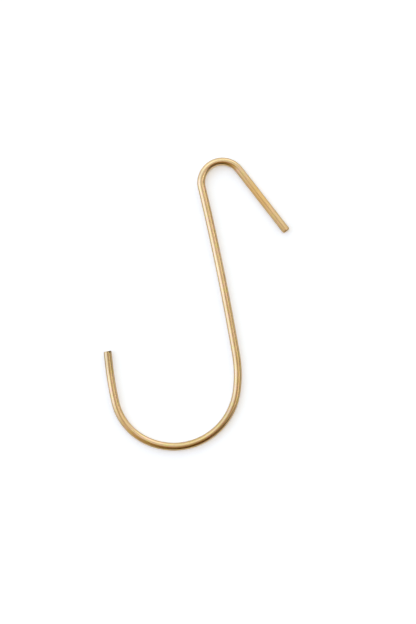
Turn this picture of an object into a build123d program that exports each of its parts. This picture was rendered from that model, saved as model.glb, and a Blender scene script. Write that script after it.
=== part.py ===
from build123d import *
from math import radians
import os

# A J-hook bent in one plane from a single length of round brass wire.
#
# It hangs on a rail or rod by the narrow bend at its top. A long shank runs down from there into a wide
# bowl, which opens the other way and carries the load, so the whole outline is a lopsided S.
#
# The hook lies on its side, as it rests on a bench. The origin is the centre of the rail bend, half way
# through the wire. +Y runs up the shank to the rail, +X points to the side of the rail leg, and +Z comes
# out of the plane of the bends. Lengths are in millimetres and angles in degrees.

# --- Driving dimensions ---------------------------------------------------------------------------------

wire_diameter = 3.0

# Each bend is given by the former that it is wound on, so its radius is that of the inner side.
rail_seat_radius = 6.6  # takes a half-inch rail
rail_bend_turn = 155.6
rail_leg_length = 30.0  # the straight leg that drops behind the rail

shank_length = 65.5
shank_bow = 3.65  # the wire keeps a trace of its coil, the same way round as the bowl

heel_radius = 46.0  # where the wire springs back as it comes off the bowl's former
heel_turn = 17.5
bowl_seat_radius = 23.0
bowl_turn = 108.0
toe_radius = 20.3
toe_turn = 51.5
tip_sweep_radius = 130.0
tip_sweep_turn = 6.2
bowl_tip_length = 5.5  # the straight end of the bowl, along the wire's centre line

# The end behind the rail is dressed round. The bowl's end is sawn a little off square and only deburred.
rail_end_round = 0.6
bowl_end_skew = 4.0
bowl_end_chamfer = 0.15

# --- Sizes that follow from them ------------------------------------------------------------------------

wire_radius = wire_diameter / 2
rail_bend_radius = rail_seat_radius + wire_radius
shank_bow_radius = shank_length / radians(shank_bow)

# The wire is bent with an offcut left on the bowl's end. The saw clears it by as much again all round.
offcut_length = wire_diameter
saw_sweep_radius = 2 * wire_radius
saw_sweep_length = 2 * offcut_length


def next_bend(before, former_radius, turn):
    """The bend that carries on, clockwise, from the end of the edge before it."""
    return JernArc(before @ 1, before % 1, former_radius + wire_radius, -turn)


# --- The wire -------------------------------------------------------------------------------------------

with BuildPart() as j_hook:
    # The centre line, from the end behind the rail, over the rail and down to the bowl's free end.
    with BuildLine() as centre_line:
        rail_bend = CenterArc((0, 0), rail_bend_radius, 180 - rail_bend_turn, rail_bend_turn)
        rail_end = rail_bend @ 0 - rail_leg_length * (rail_bend % 0)
        rail_leg = Line(rail_end, rail_bend @ 0)
        shank = JernArc(rail_bend @ 1, rail_bend % 1, shank_bow_radius, -shank_bow)
        heel = next_bend(shank, heel_radius, heel_turn)
        bowl = next_bend(heel, bowl_seat_radius, bowl_turn)
        toe = next_bend(bowl, toe_radius, toe_turn)
        tip_sweep = next_bend(toe, tip_sweep_radius, tip_sweep_turn)
        bowl_end = tip_sweep @ 1 + bowl_tip_length * (tip_sweep % 1)
        bowl_tip = Line(tip_sweep @ 1, bowl_end + offcut_length * (tip_sweep % 1))

    with BuildSketch(Plane(origin=rail_end, z_dir=rail_leg % 0)) as section:
        Circle(wire_radius)
    sweep()

    # The saw cut across the bowl's free end takes off the offcut, and leaves the inner side the longer.
    saw_plane = Plane(origin=bowl_end, x_dir=(0, 0, 1), z_dir=bowl_tip % 1).rotated((bowl_end_skew, 0, 0))
    with BuildSketch(saw_plane) as saw_cut:
        Circle(saw_sweep_radius)
    extrude(amount=saw_sweep_length, mode=Mode.SUBTRACT)

    sawn_face = j_hook.faces().sort_by_distance(bowl_end)[0]
    chamfer(sawn_face.edges(), bowl_end_chamfer)
    rail_end_face = j_hook.faces().sort_by_distance(rail_end)[0]
    fillet(rail_end_face.edges(), rail_end_round)

j_hook.part.label = "j_hook"

os.makedirs("parts", exist_ok=True)
export_step(j_hook.part, "parts/j_hook.step")
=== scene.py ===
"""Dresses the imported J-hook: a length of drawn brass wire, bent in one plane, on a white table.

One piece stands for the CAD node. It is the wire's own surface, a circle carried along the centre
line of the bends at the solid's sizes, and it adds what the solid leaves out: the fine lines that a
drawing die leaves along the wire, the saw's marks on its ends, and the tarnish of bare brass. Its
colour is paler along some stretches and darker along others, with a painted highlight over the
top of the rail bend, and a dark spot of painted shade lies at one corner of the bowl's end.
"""

import logging
from dataclasses import dataclass, field
from enum import Enum
from math import cos, log, pi, radians, sin, tan

import bpy
import numpy as np
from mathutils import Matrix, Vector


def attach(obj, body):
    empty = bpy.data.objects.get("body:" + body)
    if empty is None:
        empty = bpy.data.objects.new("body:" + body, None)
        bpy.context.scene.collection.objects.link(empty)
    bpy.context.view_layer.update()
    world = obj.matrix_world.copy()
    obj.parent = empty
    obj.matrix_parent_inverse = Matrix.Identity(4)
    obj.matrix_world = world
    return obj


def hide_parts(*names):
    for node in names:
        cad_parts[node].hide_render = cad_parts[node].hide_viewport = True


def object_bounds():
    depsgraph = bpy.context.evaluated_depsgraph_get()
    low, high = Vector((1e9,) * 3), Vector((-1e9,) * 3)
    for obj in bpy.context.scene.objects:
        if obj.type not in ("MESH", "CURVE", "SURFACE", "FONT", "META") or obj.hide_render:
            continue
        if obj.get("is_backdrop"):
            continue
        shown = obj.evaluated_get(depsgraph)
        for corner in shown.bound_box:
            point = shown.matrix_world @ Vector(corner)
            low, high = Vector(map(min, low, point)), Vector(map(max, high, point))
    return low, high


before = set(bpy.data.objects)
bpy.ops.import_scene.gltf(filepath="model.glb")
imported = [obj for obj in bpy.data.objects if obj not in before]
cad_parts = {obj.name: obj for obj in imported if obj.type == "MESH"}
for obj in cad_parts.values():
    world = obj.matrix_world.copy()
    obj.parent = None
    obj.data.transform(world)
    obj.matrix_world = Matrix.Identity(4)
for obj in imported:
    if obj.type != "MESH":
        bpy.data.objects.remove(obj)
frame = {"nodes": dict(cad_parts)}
CAD_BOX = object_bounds()

MM = 0.001
UP = np.array([0.0, 0.0, 1.0])

Colour = tuple[float, float, float, float]
Socket = bpy.types.NodeSocket
Tree = bpy.types.NodeTree

logger = logging.getLogger("j_hook")


# --- Helpers --------------------------------------------------------------------------------------

def linear(hex_colour: str) -> Colour:
    """Turns a display colour into the linear colour that a shader takes.

    Args:
        hex_colour: an sRGB colour such as "#C9A063".

    Returns:
        Linear red, green and blue, and an alpha of 1.
    """
    shares = [int(hex_colour[i:i + 2], 16) / 255 for i in (1, 3, 5)]
    red, green, blue = (s / 12.92 if s <= 0.04045 else ((s + 0.055) / 1.055) ** 2.4 for s in shares)
    return red, green, blue, 1.0


def add_node(tree: Tree, kind: str, settings: dict | None = None,
             inputs: dict | None = None) -> bpy.types.Node:
    """Adds a node to a tree, with its settings, its values and its links.

    Args:
        tree: the node tree of a material or a world.
        kind: the node's type, such as "ShaderNodeTexNoise".
        settings: properties of the node itself, by name.
        inputs: for each input, by name or number, a value or the output socket to link from.

    Returns:
        The new node.
    """
    node = tree.nodes.new(kind)
    for name, value in (settings or {}).items():
        setattr(node, name, value)
    for key, value in (inputs or {}).items():
        if isinstance(value, Socket):
            tree.links.new(value, node.inputs[key])
        else:
            node.inputs[key].default_value = value
    return node


def new_material(name: str) -> bpy.types.Material:
    """Makes a material with an empty node tree.

    Args:
        name: the material's name.

    Returns:
        The material.
    """
    material = bpy.data.materials.new(name)
    material.use_nodes = True
    material.node_tree.nodes.clear()
    return material


def new_piece(name: str, vertices: np.ndarray, faces: list[list[int]]) -> bpy.types.Object:
    """Makes a mesh object that sits at the origin, with its place in its vertices.

    Args:
        name: the object's name.
        vertices: one row of x, y and z for each vertex, in metres.
        faces: the vertex numbers of each face, anticlockwise as seen from outside.

    Returns:
        The object, linked to the scene.
    """
    mesh = bpy.data.meshes.new(name)
    mesh.from_pydata(vertices.tolist(), [], faces)
    piece = bpy.data.objects.new(name, mesh)
    bpy.context.scene.collection.objects.link(piece)
    return piece


def report(piece: bpy.types.Object) -> None:
    """Logs a piece's name, how many faces it has and its material."""
    mesh = piece.data
    logger.info("%s: %d faces in %s", piece.name, len(mesh.polygons), mesh.materials[0].name)


# --- The wire's route -----------------------------------------------------------------------------

class Turn(Enum):
    """The way that a bend turns, going along the wire. The value is the sign of its angle."""

    LEFT = 1
    RIGHT = -1


@dataclass(frozen=True)
class Stretch:
    """A length of wire that bends evenly, in metres and radians. A straight one has no turn."""

    length: float
    turn: float = 0.0


@dataclass(frozen=True)
class WireRoute:
    """The wire's centre line, from its end behind the rail, over the rail and to the bowl's end.

    The sizes are the solid's. Each bend is given by the former that it is wound on, so its radius
    is that of the inner side. The centre of the rail bend is the origin.
    """

    wire_radius: float = 1.5 * MM
    rail_leg_length: float = 30.0 * MM
    rail_seat_radius: float = 6.6 * MM
    rail_bend_turn: float = radians(155.6)
    shank_length: float = 65.5 * MM
    shank_bow: float = radians(3.65)
    heel_radius: float = 46.0 * MM
    heel_turn: float = radians(17.5)
    bowl_seat_radius: float = 23.0 * MM
    bowl_turn: float = radians(108.0)
    toe_radius: float = 20.3 * MM
    toe_turn: float = radians(51.5)
    tip_sweep_radius: float = 130.0 * MM
    tip_sweep_turn: float = radians(6.2)
    bowl_tip_length: float = 5.5 * MM

    def bend(self, former_radius: float, angle: float, way: Turn) -> Stretch:
        """Makes a bend's stretch, as long as its centre line's radius times its angle."""
        return Stretch((former_radius + self.wire_radius) * angle, way.value * angle)

    def stretches(self) -> list[Stretch]:
        """Lists the stretches. Only the rail bend turns to the left.

        Returns:
            The stretches, in order from the end behind the rail.
        """
        return [
            Stretch(self.rail_leg_length),
            self.bend(self.rail_seat_radius, self.rail_bend_turn, Turn.LEFT),
            Stretch(self.shank_length, Turn.RIGHT.value * self.shank_bow),
            self.bend(self.heel_radius, self.heel_turn, Turn.RIGHT),
            self.bend(self.bowl_seat_radius, self.bowl_turn, Turn.RIGHT),
            self.bend(self.toe_radius, self.toe_turn, Turn.RIGHT),
            self.bend(self.tip_sweep_radius, self.tip_sweep_turn, Turn.RIGHT),
            Stretch(self.bowl_tip_length),
        ]

    def joins(self) -> np.ndarray:
        """Gives the distance along the wire at which each stretch begins, and the whole length."""
        return np.cumsum([0.0] + [stretch.length for stretch in self.stretches()])

    def start(self) -> tuple[np.ndarray, float]:
        """Finds the wire's first point and its heading there.

        The rail bend ends on the shank's side, level with its centre. So it begins at half a turn
        less its own angle, and the leg reaches back from there along the tangent.

        Returns:
            The point, as x and y, and the heading in radians from +X.
        """
        bend_start = pi - self.rail_bend_turn
        heading = bend_start + pi / 2
        bend_radius = self.rail_seat_radius + self.wire_radius
        outward = np.array([cos(bend_start), sin(bend_start)])
        along = np.array([cos(heading), sin(heading)])
        return bend_radius * outward - self.rail_leg_length * along, heading

    def stations(self, spacing: float) -> np.ndarray:
        """Spreads distances along the wire, with one at each join of two stretches.

        Args:
            spacing: about how far apart they are.

        Returns:
            The rising distances, from 0 to the wire's length.
        """
        joins = self.joins()
        counts = np.maximum(np.round(np.diff(joins) / spacing), 1).astype(int)
        spans = [np.linspace(begin, end, count, endpoint=False)
                 for begin, end, count in zip(joins[:-1], joins[1:], counts)]
        return np.append(np.concatenate(spans), joins[-1])

    def centre_line(self, along: np.ndarray) -> tuple[np.ndarray, np.ndarray]:
        """Works out points of the centre line and the headings there.

        The heading changes evenly along each stretch. From one distance to the next the wire is an
        arc. Its chord is its length times the sine of half its turn over half its turn, and points
        along the mean heading.

        Args:
            along: distances along the wire, which rise or stay, from 0.

        Returns:
            The points, as rows of x, y and z, and the headings.
        """
        first_point, first_heading = self.start()
        turned = np.cumsum([0.0] + [stretch.turn for stretch in self.stretches()])
        heading = first_heading + np.interp(along, self.joins(), turned)
        chord = np.diff(along) * np.sinc(np.diff(heading) / (2 * pi))
        mean = (heading[:-1] + heading[1:]) / 2
        steps = np.stack([chord * np.cos(mean), chord * np.sin(mean)], axis=1)
        flat = first_point + np.concatenate([np.zeros((1, 2)), np.cumsum(steps, axis=0)])
        return np.pad(flat, ((0, 0), (0, 1))), heading


# --- The finishes ---------------------------------------------------------------------------------

class ColourShift(Enum):
    """The ways in which the brass's colour shifts along stretches of the wire. The value is the
    name of the attribute.
    """

    PALER_TONE = "paler_tone"
    GOLDEN = "golden"
    BROWNED = "browned"
    DULLED = "dulled"


@dataclass(frozen=True)
class DrawnBrass:
    """Yellow brass wire, cold drawn through a die and left bare.

    It gives a satin gold. The die's lines spread each highlight round the wire and keep it short
    along it, and the metal has dulled here and there, to straw yellow in places and to a pinkish
    tan in others. The top of the rail bend is paler, a painted highlight, and a place on the shank
    is paler too. The leg behind the rail is a fuller gold, two places lower down are browner, and
    the bowl's tip is duller and darker. A dark spot of painted shade lies at the upper inner corner
    of the bowl's end, where the cutters pinched the wire.
    """

    straw: str = "#DDCC7C"
    rosy_tan: str = "#E4B4A1"
    tarnish: str = "#D4B37C"
    edge_tint: str = "#594527"
    # The paler tone paints a highlight over the top of the rail bend and lightens a place on the
    # shank.
    paler_tone: str = "#F9DAAC"
    golden: str = "#F1BC65"
    browned: str = "#C8AB61"
    dulled: str = "#9B8B61"
    fresh_cut: str = "#E0C48F"
    # A painted shade, for the dark spot at the corner of the bowl's end.
    pinch_shade_colour: str = "#2B1B0A"
    roughness: float = 0.27
    roughness_change: float = 0.05
    directness: float = 0.3
    # Lines and streaks are in millimetres, as the UV map is. The real lines are a few hundredths
    # of a millimetre apart. That is too fine to show, so they are drawn coarser.
    line_width: float = 0.22
    line_length: float = 14.0
    line_detail: float = 4.0
    line_depth: float = 0.0155 * MM
    line_sharpness: float = 0.5
    streak_width: float = 0.5
    streak_length: float = 2.5
    streak_detail: float = 2.0
    streak_grain: float = 0.6
    # Nearly all of a line's or a streak's noise lies between these two values.
    noise_low: float = 0.3
    noise_high: float = 0.7
    patch_size: float = 9 * MM
    patch_detail: float = 3.0
    patch_grain: float = 0.55
    # A patch begins at the first value of its noise and is at its full share at the second.
    patch_edge: float = 0.35
    patch_heart: float = 0.75
    patch_share: float = 0.8

    def material(self) -> bpy.types.Material:
        """Builds the material.

        Returns:
            The material, which reads the UV map "wire", the attribute "end_face", one attribute for
            the painted shade at the bowl's end and one for each kind of colour shift.
        """
        material = new_material("drawn_brass")
        tree = material.node_tree
        lines = self.streaks(tree, self.line_width, self.line_length, self.line_detail)
        polish = add_node(tree, "ShaderNodeMapRange", {}, {
            "Value": lines, "From Min": self.noise_low, "From Max": self.noise_high,
            "To Min": self.roughness - self.roughness_change,
            "To Max": self.roughness + self.roughness_change})
        bump = add_node(tree, "ShaderNodeBump", {}, {
            "Height": lines, "Strength": self.line_sharpness, "Distance": self.line_depth})
        across = add_node(tree, "ShaderNodeTangent", {"direction_type": "UV_MAP", "uv_map": "wire"})
        metal = add_node(tree, "ShaderNodeBsdfPrincipled", {}, {
            "Base Color": self.colour(tree), "Metallic": 1.0, "Roughness": polish.outputs["Result"],
            "Anisotropic": self.directness, "Specular Tint": linear(self.edge_tint),
            "Normal": bump.outputs["Normal"], "Tangent": across.outputs["Tangent"]})
        add_node(tree, "ShaderNodeOutputMaterial", {}, {"Surface": metal.outputs["BSDF"]})
        return material

    def streaks(self, tree: Tree, width: float, length: float, detail: float) -> Socket:
        """Adds a noise drawn out along the wire, which reads the UV map "wire".

        Args:
            tree: the material's node tree.
            width: how wide a streak is, in millimetres.
            length: how long it is, in millimetres.
            detail: how many finer noises lie over the coarsest.

        Returns:
            The output socket, around 0.5.
        """
        wire = add_node(tree, "ShaderNodeUVMap", {"uv_map": "wire"})
        drawn_out = add_node(tree, "ShaderNodeMapping", {}, {
            "Vector": wire.outputs["UV"], "Scale": (1 / width, 1 / length, 1.0)})
        noise = add_node(tree, "ShaderNodeTexNoise", {}, {
            "Vector": drawn_out.outputs["Vector"], "Scale": 1.0,
            "Detail": detail, "Roughness": self.streak_grain})
        return noise.outputs["Fac"]

    def blend(self, tree: Tree, share: Socket, under: Colour | Socket, over: Colour) -> Socket:
        """Covers one colour with a share of another, and returns the output socket."""
        mix = add_node(tree, "ShaderNodeMix", {"data_type": "RGBA"}, {0: share, 6: under, 7: over})
        return mix.outputs[2]

    def colour(self, tree: Tree) -> Socket:
        """Adds the colours.

        Streaks of straw and tan come first, and then patches of tarnish. Over them lie the
        stretches of shifted colour, of which the paler top of the rail bend is a painted highlight,
        the fresh metal of the ends' flat faces, and a dark spot of painted shade at the corner
        where the cutters pinched the wire.

        Args:
            tree: the material's node tree.

        Returns:
            The output socket of the colour.
        """
        streaks = self.streaks(tree, self.streak_width, self.streak_length, self.streak_detail)
        rosy = add_node(tree, "ShaderNodeMapRange", {}, {
            "Value": streaks, "From Min": self.noise_low, "From Max": self.noise_high})
        place = add_node(tree, "ShaderNodeTexCoord")
        patch = add_node(tree, "ShaderNodeTexNoise", {}, {
            "Vector": place.outputs["Object"], "Scale": 1 / self.patch_size,
            "Detail": self.patch_detail, "Roughness": self.patch_grain})
        tarnished = add_node(tree, "ShaderNodeMapRange", {}, {
            "Value": patch.outputs["Fac"], "From Min": self.patch_edge,
            "From Max": self.patch_heart, "To Max": self.patch_share})
        straw, rosy_tan = linear(self.straw), linear(self.rosy_tan)
        brass = self.blend(tree, rosy.outputs["Result"], straw, rosy_tan)
        brass = self.blend(tree, tarnished.outputs["Result"], brass, linear(self.tarnish))
        # The paler tone over the top of the rail bend is a painted highlight, and the dark spot at
        # the bowl's end is a painted shade.
        marks = {ColourShift.PALER_TONE.value: self.paler_tone, ColourShift.GOLDEN.value: self.golden,
                 ColourShift.BROWNED.value: self.browned, ColourShift.DULLED.value: self.dulled,
                 "end_face": self.fresh_cut, "pinch_shade": self.pinch_shade_colour}
        for name, colour in marks.items():
            mark = add_node(tree, "ShaderNodeAttribute", {"attribute_name": name})
            brass = self.blend(tree, mark.outputs["Fac"], brass, linear(colour))
        return brass


@dataclass(frozen=True)
class WhitePaper:
    """Matt white backdrop paper.

    It gives a plain white that takes a soft shadow, and the metal mirrors that white.
    """

    colour: str = "#F5F7FA"
    glow: float = 0.298

    def material(self) -> bpy.types.Material:
        """Builds the material: matt paper, with a glow that only the camera and mirrors see.

        Returns:
            The material.
        """
        material = new_material("white_paper")
        tree = material.node_tree
        ray = add_node(tree, "ShaderNodeLightPath")
        seen = add_node(tree, "ShaderNodeMath", {"operation": "MAXIMUM"}, {
            0: ray.outputs["Is Camera Ray"], 1: ray.outputs["Is Glossy Ray"]})
        seen = add_node(tree, "ShaderNodeMath", {"operation": "MAXIMUM"}, {
            0: seen.outputs["Value"], 1: ray.outputs["Is Transmission Ray"]})
        strength = add_node(tree, "ShaderNodeMath", {"operation": "MULTIPLY"}, {
            0: seen.outputs["Value"], 1: self.glow})
        paper = add_node(tree, "ShaderNodeBsdfDiffuse", {}, {"Color": linear(self.colour)})
        glow = add_node(tree, "ShaderNodeEmission", {}, {"Strength": strength.outputs["Value"]})
        both = add_node(tree, "ShaderNodeAddShader", {}, {
            0: paper.outputs["BSDF"], 1: glow.outputs["Emission"]})
        add_node(tree, "ShaderNodeOutputMaterial", {}, {"Surface": both.outputs["Shader"]})
        return material


# --- The hook -------------------------------------------------------------------------------------

@dataclass(frozen=True)
class Rows:
    """The rows of a wire's surface, from the middle of one end to the middle of the other.

    Each row is a ring about the centre line. It has its distance along the wire, its radius, the
    share of the saw cut's skew that it takes, and a mark of 1 where it lies on the flat face of an
    end.
    """

    along: np.ndarray
    radius: np.ndarray
    skew: np.ndarray
    face: np.ndarray

    def outline(self) -> np.ndarray:
        """Measures the way over the surface from the first row to each, in metres."""
        steps = np.hypot(np.diff(self.along), np.diff(self.radius))
        return np.concatenate([[0.0], np.cumsum(steps)])


@dataclass(frozen=True)
class ShiftedStretch:
    """A stretch of the wire whose colour has changed.

    Its middle is a distance along the wire, and its reach is how far it goes on either side, both
    in metres. Its share is how much of the changed colour shows in the middle.
    """

    kind: ColourShift
    middle: float
    reach: float
    share: float

    def at(self, along: np.ndarray) -> np.ndarray:
        """Gives the share along the wire, as the square of a cosine that is 0 at the reach."""
        from_middle = np.clip((along - self.middle) / self.reach, -1, 1)
        return self.share * np.cos(from_middle * pi / 2) ** 2


@dataclass
class WireHook:
    """The whole hook: a round wire on its route, dressed round at one end and sawn at the other."""

    route: WireRoute = field(default_factory=WireRoute)
    finish: DrawnBrass = field(default_factory=DrawnBrass)
    node: str = "j_hook"
    ring_spacing: float = 0.25 * MM
    around: int = 64
    rail_end_round: float = 0.6 * MM
    round_steps: int = 9
    bowl_end_skew: float = radians(4.0)
    bowl_end_chamfer: float = 0.15 * MM
    face_rings: int = 14
    sharp_edge: float = radians(35.0)
    # The dark spot of painted shade at the corner of the bowl's end: its lean up from the side, its
    # core and its size.
    pinch_lean: float = radians(50.0)
    pinch_core: float = 0.27 * MM
    pinch_size: float = 0.8 * MM
    # On the rail leg, the rail bend, the shank, the heel, the bowl's bottom and the bowl's tip. The
    # paler one on the rail bend is a painted highlight.
    shifted_stretches: tuple[ShiftedStretch, ...] = (
        ShiftedStretch(ColourShift.GOLDEN, 17.0 * MM, 13.0 * MM, 0.35),
        ShiftedStretch(ColourShift.PALER_TONE, 43.5 * MM, 12.5 * MM, 0.62),
        ShiftedStretch(ColourShift.PALER_TONE, 83.0 * MM, 8.0 * MM, 0.22),
        ShiftedStretch(ColourShift.BROWNED, 120.0 * MM, 7.0 * MM, 0.30),
        ShiftedStretch(ColourShift.BROWNED, 159.0 * MM, 8.0 * MM, 0.25),
        ShiftedStretch(ColourShift.DULLED, 217.5 * MM, 14.0 * MM, 0.32),
    )

    def build(self) -> bpy.types.Object:
        """Makes the wire, dresses it and puts it in the solid's place.

        Returns:
            The hook's object.
        """
        rows = self.rows()
        grid = self.surface(rows)
        vertices = np.concatenate([grid[:1, 0], grid[1:-1].reshape(-1, 3), grid[-1:, 0]])
        hook = new_piece("hook_wire", vertices, self.faces(len(grid)))
        self.dress(hook.data, vertices, rows)
        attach(hook, "root")
        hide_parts(self.node)
        return hook

    def dress(self, mesh: bpy.types.Mesh, vertices: np.ndarray, rows: Rows) -> None:
        """Smooths the wire between its sharp edges, maps and marks it, and gives it its finish.

        Args:
            mesh: the hook's mesh.
            vertices: its vertices.
            rows: the rows it was made from.
        """
        mesh.shade_smooth()
        mesh.set_sharp_from_angle(angle=self.sharp_edge)
        self.unwrap(mesh, rows)
        self.mark(mesh, vertices, rows)
        mesh.materials.append(self.finish.material())

    def rows(self) -> Rows:
        """Lays out the rows.

        The dressed end is a flat face, then a quarter circle that brings the radius out by its sine
        as it goes along by one less its cosine. The sawn end is a chamfer, then a flat face, both
        tipped by the whole skew.

        Returns:
            The rows, of which the first and last have no radius.
        """
        wire, dressing, chamfer = self.route.wire_radius, self.rail_end_round, self.bowl_end_chamfer
        quarter = np.linspace(0, pi / 2, self.round_steps)
        share = np.linspace(0, 1, self.face_rings + 1)[:-1]
        body = self.route.stations(self.ring_spacing)
        length = body[-1]
        body = body[(body > dressing + self.ring_spacing / 2) & (body < length - self.ring_spacing)]
        parts = [
            (0 * share, (wire - dressing) * share, 0, 1),
            (dressing * (1 - np.cos(quarter)), wire - dressing * (1 - np.sin(quarter)), 0, 0),
            (body, wire + 0 * body, 0, 0),
            (np.array([length - chamfer]), np.array([wire]), 1, 0),
            (length + 0 * share, (wire - chamfer) * (1 - share), 1, 1),
            (np.array([length]), np.zeros(1), 1, 1),
        ]
        along, radius = (np.concatenate([part[i] for part in parts]) for i in (0, 1))
        counts = [len(part[0]) for part in parts]
        skew, face = (np.repeat([float(part[i]) for part in parts], counts) for i in (2, 3))
        return Rows(along, radius, skew, face)

    def surface(self, rows: Rows) -> np.ndarray:
        """Works out the grid of points, by row and by angle round the wire.

        A point is the centre line's, plus the radius times the cosine of the angle to the right and
        its sine upwards. A skewed row also shifts along the wire, by its way to the right times the
        tangent of the skew.

        Args:
            rows: the rows.

        Returns:
            An array of row, angle, and x, y and z.
        """
        centre, heading = self.route.centre_line(rows.along)
        angle = np.linspace(0, 2 * pi, self.around, endpoint=False)[None, :, None]
        forward = np.stack([np.cos(heading), np.sin(heading), 0 * heading], axis=1)[:, None]
        right = np.stack([np.sin(heading), -np.cos(heading), 0 * heading], axis=1)[:, None]
        radius, skew = rows.radius[:, None, None], rows.skew[:, None, None]
        shift = skew * tan(self.bowl_end_skew) * radius * np.cos(angle)
        ring = radius * (np.cos(angle) * right + np.sin(angle) * UP)
        return centre[:, None] + ring + shift * forward

    def corners(self, count: int) -> list[np.ndarray]:
        """Lists the corners of the faces by row and column, with one column too many for the seam.

        Args:
            count: the number of rows.

        Returns:
            The first end's triangles, the quads and the last end's triangles, as arrays of face,
            corner and (row, column). A triangle's corner in the middle has the column half way
            between its other two.
        """
        row, column = np.meshgrid(np.arange(1, count - 2), np.arange(self.around), indexing="ij")
        quads = np.stack([np.stack([row + down, column + across], -1)
                          for down, across in ((0, 0), (1, 0), (1, 1), (0, 1))], axis=2)
        ring = np.arange(self.around)
        caps = []
        for middle, edge, order in ((0, 1, (0, 1)), (count - 1, count - 2, (1, 0))):
            corners = [np.stack([0 * ring + middle, ring + 0.5], -1)]
            corners += [np.stack([0 * ring + edge, ring + step], -1) for step in order]
            caps.append(np.stack(corners, axis=1))
        return [caps[0], quads.reshape(-1, 4, 2).astype(float), caps[1]]

    def faces(self, count: int) -> list[list[int]]:
        """Numbers the corners of the faces, with the seam joined and each end brought to one point.

        Args:
            count: the number of rows.

        Returns:
            The vertex numbers of each face.
        """
        last = 1 + (count - 2) * self.around
        faces = []
        for corners in self.corners(count):
            row, column = corners[..., 0], np.floor(corners[..., 1]) % self.around
            number = np.clip(1 + (row - 1) * self.around + column, 0, last)
            number = np.where(row == 0, 0, np.where(row == count - 1, last, number))
            faces += number.astype(int).tolist()
        return faces

    def unwrap(self, mesh: bpy.types.Mesh, rows: Rows) -> None:
        """Writes the UV map "wire", in millimetres.

        On the wire's side, u is the way round it and v the way along it. On the flat faces of the
        ends u is the height and v the way across, so that lines which run along v are saw marks
        there.

        Args:
            mesh: the hook's mesh.
            rows: the rows it was made from.
        """
        outline, step = rows.outline(), 2 * pi / self.around
        maps = []
        for corners in self.corners(len(rows.along)):
            row, angle = corners[..., 0].astype(int), corners[..., 1] * step
            height, across = rows.radius[row] * np.sin(angle), rows.radius[row] * np.cos(angle)
            side = np.stack([angle * self.route.wire_radius, outline[row]], -1)
            flat = np.stack([height, outline[row[:, :1]] + across], -1)
            on_face = np.all(rows.face[row] == 1, axis=1)[:, None, None]
            maps.append(np.where(on_face, flat, side).reshape(-1, 2))
        layer = mesh.uv_layers.new(name="wire")
        layer.data.foreach_set("uv", (np.concatenate(maps) / MM).astype(np.float32).ravel())

    def mark(self, mesh: bpy.types.Mesh, vertices: np.ndarray, rows: Rows) -> None:
        """Writes the attribute "end_face", one for the painted shade and one for each colour shift.

        The first is the rows' own mark. The second is a painted shade, a dark spot at the upper
        inner corner of the bowl's end: it is 1 within its core and falls evenly to 0 at its full
        size. A kind of colour shift that shows in two places has the sum of both.

        Args:
            mesh: the hook's mesh.
            vertices: its vertices.
            rows: the rows it was made from.
        """
        centre, heading = self.route.centre_line(rows.along)
        right = np.array([sin(heading[-1]), -cos(heading[-1]), 0.0])
        outward = cos(self.pinch_lean) * right + sin(self.pinch_lean) * UP
        # A dark spot of painted shade at the upper inner corner of the bowl's end.
        away = np.linalg.norm(vertices - centre[-1] - self.route.wire_radius * outward, axis=1)
        pinch_shade = np.clip((self.pinch_size - away) / (self.pinch_size - self.pinch_core), 0, 1)
        counts = np.full(len(rows.along), self.around)
        counts[[0, -1]] = 1
        marks = {"end_face": np.repeat(rows.face, counts), "pinch_shade": pinch_shade}
        for stretch in self.shifted_stretches:
            name, share = stretch.kind.value, np.repeat(stretch.at(rows.along), counts)
            marks[name] = marks.get(name, 0) + share
        for name, values in marks.items():
            attribute = mesh.attributes.new(name, "FLOAT", "POINT")
            attribute.data.foreach_set("value", values.astype(np.float32))


# --- The studio -----------------------------------------------------------------------------------

@dataclass
class Table:
    """A table covered in paper, at the height of the hook's lowest point."""

    finish: WhitePaper = field(default_factory=WhitePaper)
    side: float = 12.0
    height: float = CAD_BOX[0][2]

    def build(self) -> bpy.types.Object:
        """Lays the paper as one flat square.

        Returns:
            The table's object.
        """
        square = np.array([[-1, -1], [1, -1], [1, 1], [-1, 1]]) * self.side / 2
        corners = np.pad(square, ((0, 0), (0, 1)), constant_values=self.height)
        table = new_piece("table", corners, [[0, 1, 2, 3]])
        table.data.materials.append(self.finish.material())
        table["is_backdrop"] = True
        return table


@dataclass(frozen=True)
class Glow:
    """A soft patch of light on a tent.

    Its centre is given by its bearing from +X and its elevation, in degrees. Its spread is the
    angle from the centre, in degrees, at which the light has fallen to half.
    """

    bearing: float
    elevation: float
    spread: float
    radiance: float
    colour: str

    def centre(self) -> tuple[float, float, float]:
        """Gives the direction of the centre, as a unit vector."""
        bearing, elevation = radians(self.bearing), radians(self.elevation)
        return cos(elevation) * cos(bearing), cos(elevation) * sin(bearing), sin(elevation)

    def light(self, tree: Tree, direction: Socket) -> Socket:
        """Adds the glow's light.

        It is the radiance times the exponential of a slope times the cosine of the angle from the
        centre less one. The slope is the logarithm of two over one less the spread's cosine.

        Args:
            tree: the world's node tree.
            direction: the direction looked in.

        Returns:
            The output socket of the light, as a colour.
        """
        slope = log(2) / (1 - cos(radians(self.spread)))
        full = [self.radiance * part for part in linear(self.colour)[:3]]
        cosine = add_node(tree, "ShaderNodeVectorMath", {"operation": "DOT_PRODUCT"}, {
            0: direction, 1: self.centre()})
        power = add_node(tree, "ShaderNodeMath", {"operation": "MULTIPLY_ADD"}, {
            0: cosine.outputs["Value"], 1: slope, 2: -slope})
        share = add_node(tree, "ShaderNodeMath", {"operation": "EXPONENT"}, {
            0: power.outputs["Value"]})
        light = add_node(tree, "ShaderNodeVectorMath", {"operation": "SCALE"}, {
            0: full, "Scale": share.outputs["Value"]})
        return light.outputs["Vector"]


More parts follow.
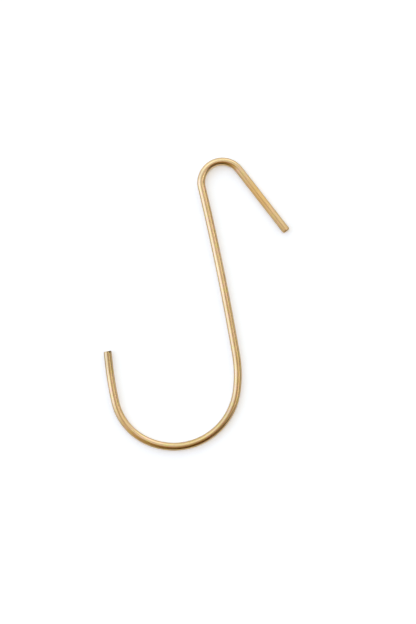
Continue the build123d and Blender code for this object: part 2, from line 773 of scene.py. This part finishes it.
@dataclass(frozen=True)
class LightTent:
    """A tent of white cloth, lit in soft patches. Its open side, past the bowl, is dim and warm."""

    # Bearing, elevation, spread, radiance and colour.
    glows: tuple[Glow, ...] = (
        Glow(10.0, 36.9, 11.7, 2.004, "#FFFBF5"),
        Glow(30.4, 71.8, 10.1, 1.862, "#ECF6FF"),
        Glow(52.4, 12.9, 21.5, 2.307, "#ECF3FF"),
        Glow(109.0, 36.8, 26.4, 1.786, "#EFFCFF"),
        Glow(170.2, 17.1, 21.3, 3.285, "#BCD0FF"),
        Glow(179.9, 56.9, 12.6, 1.739, "#D8E9FF"),
        Glow(-148.0, 38.5, 16.3, 0.801, "#FFDB00"),
        Glow(-95.0, 8.0, 38.0, 0.100, "#FFD181"),
        Glow(-79.3, 75.6, 18.5, 0.377, "#FFAB00"),
        Glow(-26.5, 45.1, 10.1, 2.377, "#FFFFF4"),
    )

    def build(self) -> bpy.types.World:
        """Lights the world with the sum of the glows.

        Returns:
            The world, set as the scene's.
        """
        world = bpy.data.worlds.new("light_tent")
        world.use_nodes = True
        tree = world.node_tree
        tree.nodes.clear()
        direction = add_node(tree, "ShaderNodeTexCoord").outputs["Generated"]
        light = self.glows[0].light(tree, direction)
        for glow in self.glows[1:]:
            both = add_node(tree, "ShaderNodeVectorMath", {"operation": "ADD"}, {
                0: light, 1: glow.light(tree, direction)})
            light = both.outputs["Vector"]
        tent = add_node(tree, "ShaderNodeBackground", {}, {"Color": light})
        add_node(tree, "ShaderNodeOutputWorld", {}, {"Surface": tent.outputs["Background"]})
        bpy.context.scene.world = world
        return world


@dataclass(frozen=True)
class OverheadCamera:
    """A camera that looks straight down, turned so that the top of the hook leans to the left."""

    over: tuple[float, float] = (-16.91 * MM, -47.20 * MM)
    field_height: float = 240.2 * MM
    lens: float = 100.0
    sensor: float = 36.0
    turn: float = radians(-13.409)

    def build(self) -> bpy.types.Object:
        """Hangs the camera as far up as its lens needs to take in the field's height.

        Returns:
            The camera's object, set as the scene's.
        """
        data = bpy.data.cameras.new("camera")
        data.sensor_fit = "VERTICAL"
        data.sensor_height = self.sensor
        data.lens = self.lens
        camera = bpy.data.objects.new("camera", data)
        bpy.context.scene.collection.objects.link(camera)
        camera.location = (*self.over, self.field_height * self.lens / self.sensor)
        camera.rotation_euler = (0, 0, self.turn)
        bpy.context.scene.camera = camera
        return camera


def main() -> None:
    """Builds the hook and its studio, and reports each."""
    logger.info("frame: %s", ", ".join(frame["nodes"]))
    report(WireHook().build())
    report(Table().build())
    world = LightTent().build()
    logger.info("%s: %d nodes", world.name, len(world.node_tree.nodes))
    camera = OverheadCamera().build()
    logger.info("%s: %.3f m up", camera.name, camera.location.z)
    bpy.context.scene.view_settings.view_transform = "Standard"

    boxes = {"cad": CAD_BOX, "visual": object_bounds()}
    boxes = {name: [list(corner) for corner in box] for name, box in boxes.items()}
    logger.info("boxes: %s", boxes)


if __name__ == "__main__":
    logging.basicConfig(level=logging.INFO, format="%(name)s: %(message)s")
    main()
